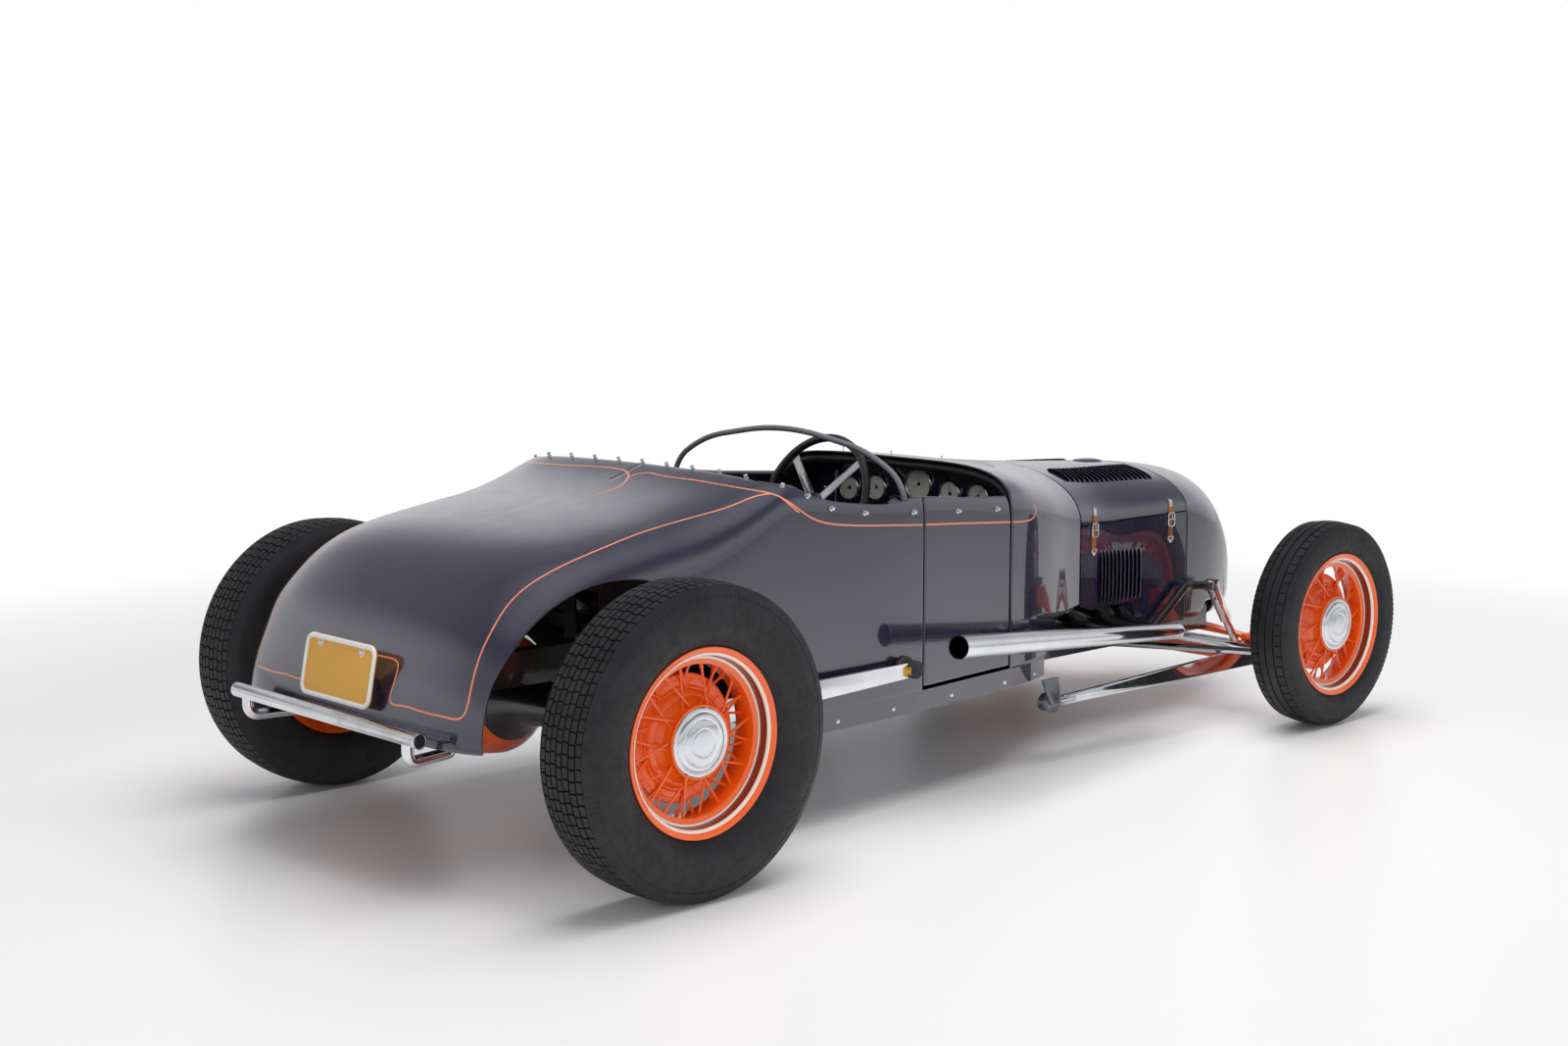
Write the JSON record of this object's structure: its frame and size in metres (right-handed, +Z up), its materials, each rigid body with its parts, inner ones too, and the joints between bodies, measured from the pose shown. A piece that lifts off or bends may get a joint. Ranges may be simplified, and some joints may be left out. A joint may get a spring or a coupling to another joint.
{
  "type": "street rod roadster",
  "caption": "Open two-seat street rod with a rounded boat-like tail, strapped louvred bonnet, pointed nose with a grille, wire wheels, dropped front axle and side pipes.",
  "frame": {"origin": "on the ground under the middle of the car's overall box", "axes": "+X forward, +Y to the driver's left, +Z up"},
  "size_m": [3.4799, 1.6932, 0.9795],
  "materials": {
    "body_paint": "gloss deep indigo",
    "bare_metal": "satin",
    "frame_paint": "gloss black",
    "pan_metal": "gloss deep indigo",
    "seat_leather": "black, soft",
    "tyre_rubber": "matte",
    "wheel_paint": "gloss orange",
    "steel_parts": "satin",
    "chrome_trim": "polished",
    "wheel_grip": "dark, polished",
    "plate_paint": "gloss yellow",
    "bow_metal": "satin",
    "cast_block": "cast",
    "radiator_core": "matte"
  },
  "bodies": {
    "chassis_body": {"rear_deck": "body_paint", "quarter_panel_left": "body_paint", "quarter_panel_right": "body_paint", "cowl": "body_paint", "hood_top": "body_paint", "hood_side_left": "body_paint", "hood_side_right": "body_paint", "nose_shell": "body_paint", "dash_panel": "body_paint", "firewall": "bare_metal", "grille": "bare_metal", "rear_bulkhead": "bare_metal", "cockpit_floor": "bare_metal", "seat_riser": "bare_metal", "frame_rails": "frame_paint", "belly_pan": "pan_metal", "seat_base": "seat_leather", "seat_back": "seat_leather", "front_axle": "wheel_paint", "steering_column": "frame_paint", "rear_axle": "frame_paint", "rear_spring": "frame_paint", "rear_radius_rods": "chrome_trim", "front_spring": "frame_paint", "front_radius_rods": "chrome_trim", "front_shocks": "frame_paint", "exhaust_left": "chrome_trim", "exhaust_right": "chrome_trim", "rear_bumper": "chrome_trim", "licence_plate": "plate_paint", "tonneau_bow": "bow_metal", "engine_block": "cast_block", "radiator": "radiator_core"},
    "door_left": {"door_left": "body_paint"},
    "door_right": {"door_right": "body_paint"},
    "roadwheel_rear_left": {"tyre_rear_left": "tyre_rubber", "wheel_rear_left": "wheel_paint"},
    "roadwheel_rear_right": {"tyre_rear_right": "tyre_rubber", "wheel_rear_right": "wheel_paint"},
    "roadwheel_front_left": {"tyre_front_left": "tyre_rubber", "wheel_front_left": "wheel_paint"},
    "roadwheel_front_right": {"tyre_front_right": "tyre_rubber", "wheel_front_right": "wheel_paint"},
    "knuckle_left": {"knuckle_left": "steel_parts"},
    "knuckle_right": {"knuckle_right": "steel_parts"},
    "tie_rod": {"tie_rod": "chrome_trim"},
    "drag_link": {"drag_link": "chrome_trim"},
    "pitman_arm": {"pitman_arm": "steel_parts"},
    "steering_wheel": {"steering_wheel": "wheel_grip"}
  },
  "joints": [
    {"name": "steer_left", "type": "hinge", "parent": "chassis_body", "child": "knuckle_left", "pos_m": [1.411, 0.6, 0.317], "axis": [0, 0, 1], "range_deg": [-26, 26]},
    {"name": "steer_right", "type": "hinge", "parent": "chassis_body", "child": "knuckle_right", "pos_m": [1.411, -0.6, 0.317], "axis": [0, 0, 1], "range_deg": [-26, 26]},
    {"name": "tie_rod_pivot", "type": "hinge", "parent": "knuckle_left", "child": "tie_rod", "pos_m": [1.286, 0.6, 0.228], "axis": [0, 0, 1], "range_deg": [-26, 26]},
    {"name": "drag_link_pivot", "type": "hinge", "parent": "knuckle_right", "child": "drag_link", "pos_m": [1.246, -0.6, 0.228], "axis": [0, 0, 1], "range_deg": [-26, 26]},
    {"name": "pitman_swing", "type": "hinge", "parent": "chassis_body", "child": "pitman_arm", "pos_m": [1.094, 0.21, 0.23], "axis": [0, 0, 1], "range_deg": [-26, 26]},
    {"name": "steering_wheel_turn", "type": "hinge", "parent": "chassis_body", "child": "steering_wheel", "pos_m": [0.099, 0.21, 0.717], "axis": [0.9272, 0, -0.3746], "range_deg": [-260, 260]},
    {"name": "wheel_rear_left_spin", "type": "hinge", "parent": "chassis_body", "child": "roadwheel_rear_left", "pos_m": [-1.236, 0.7525, 0.368], "axis": [0, 1, 0], "continuous": true},
    {"name": "wheel_rear_right_spin", "type": "hinge", "parent": "chassis_body", "child": "roadwheel_rear_right", "pos_m": [-1.236, -0.7525, 0.368], "axis": [0, 1, 0], "continuous": true},
    {"name": "wheel_front_left_spin", "type": "hinge", "parent": "knuckle_left", "child": "roadwheel_front_left", "pos_m": [1.411, 0.7145, 0.317], "axis": [0, 1, 0], "continuous": true},
    {"name": "wheel_front_right_spin", "type": "hinge", "parent": "knuckle_right", "child": "roadwheel_front_right", "pos_m": [1.411, -0.7145, 0.317], "axis": [0, 1, 0], "continuous": true},
    {"name": "door_left_hinge", "type": "hinge", "parent": "chassis_body", "child": "door_left", "pos_m": [0.191, 0.48183, 0.5], "axis": [0, 0, -1], "range_deg": [0, 13.5]},
    {"name": "door_right_hinge", "type": "hinge", "parent": "chassis_body", "child": "door_right", "pos_m": [0.191, -0.48183, 0.5], "axis": [0, 0, 1], "range_deg": [0, 13.5]}
  ],
  "couplings": [
    {"joint": "steer_right", "follows": "steer_left", "ratio": 1},
    {"joint": "tie_rod_pivot", "follows": "steer_left", "ratio": -1},
    {"joint": "drag_link_pivot", "follows": "steer_left", "ratio": -1},
    {"joint": "pitman_swing", "follows": "steer_left", "ratio": 1},
    {"joint": "steering_wheel_turn", "follows": "steer_left", "ratio": -10}
  ]
}
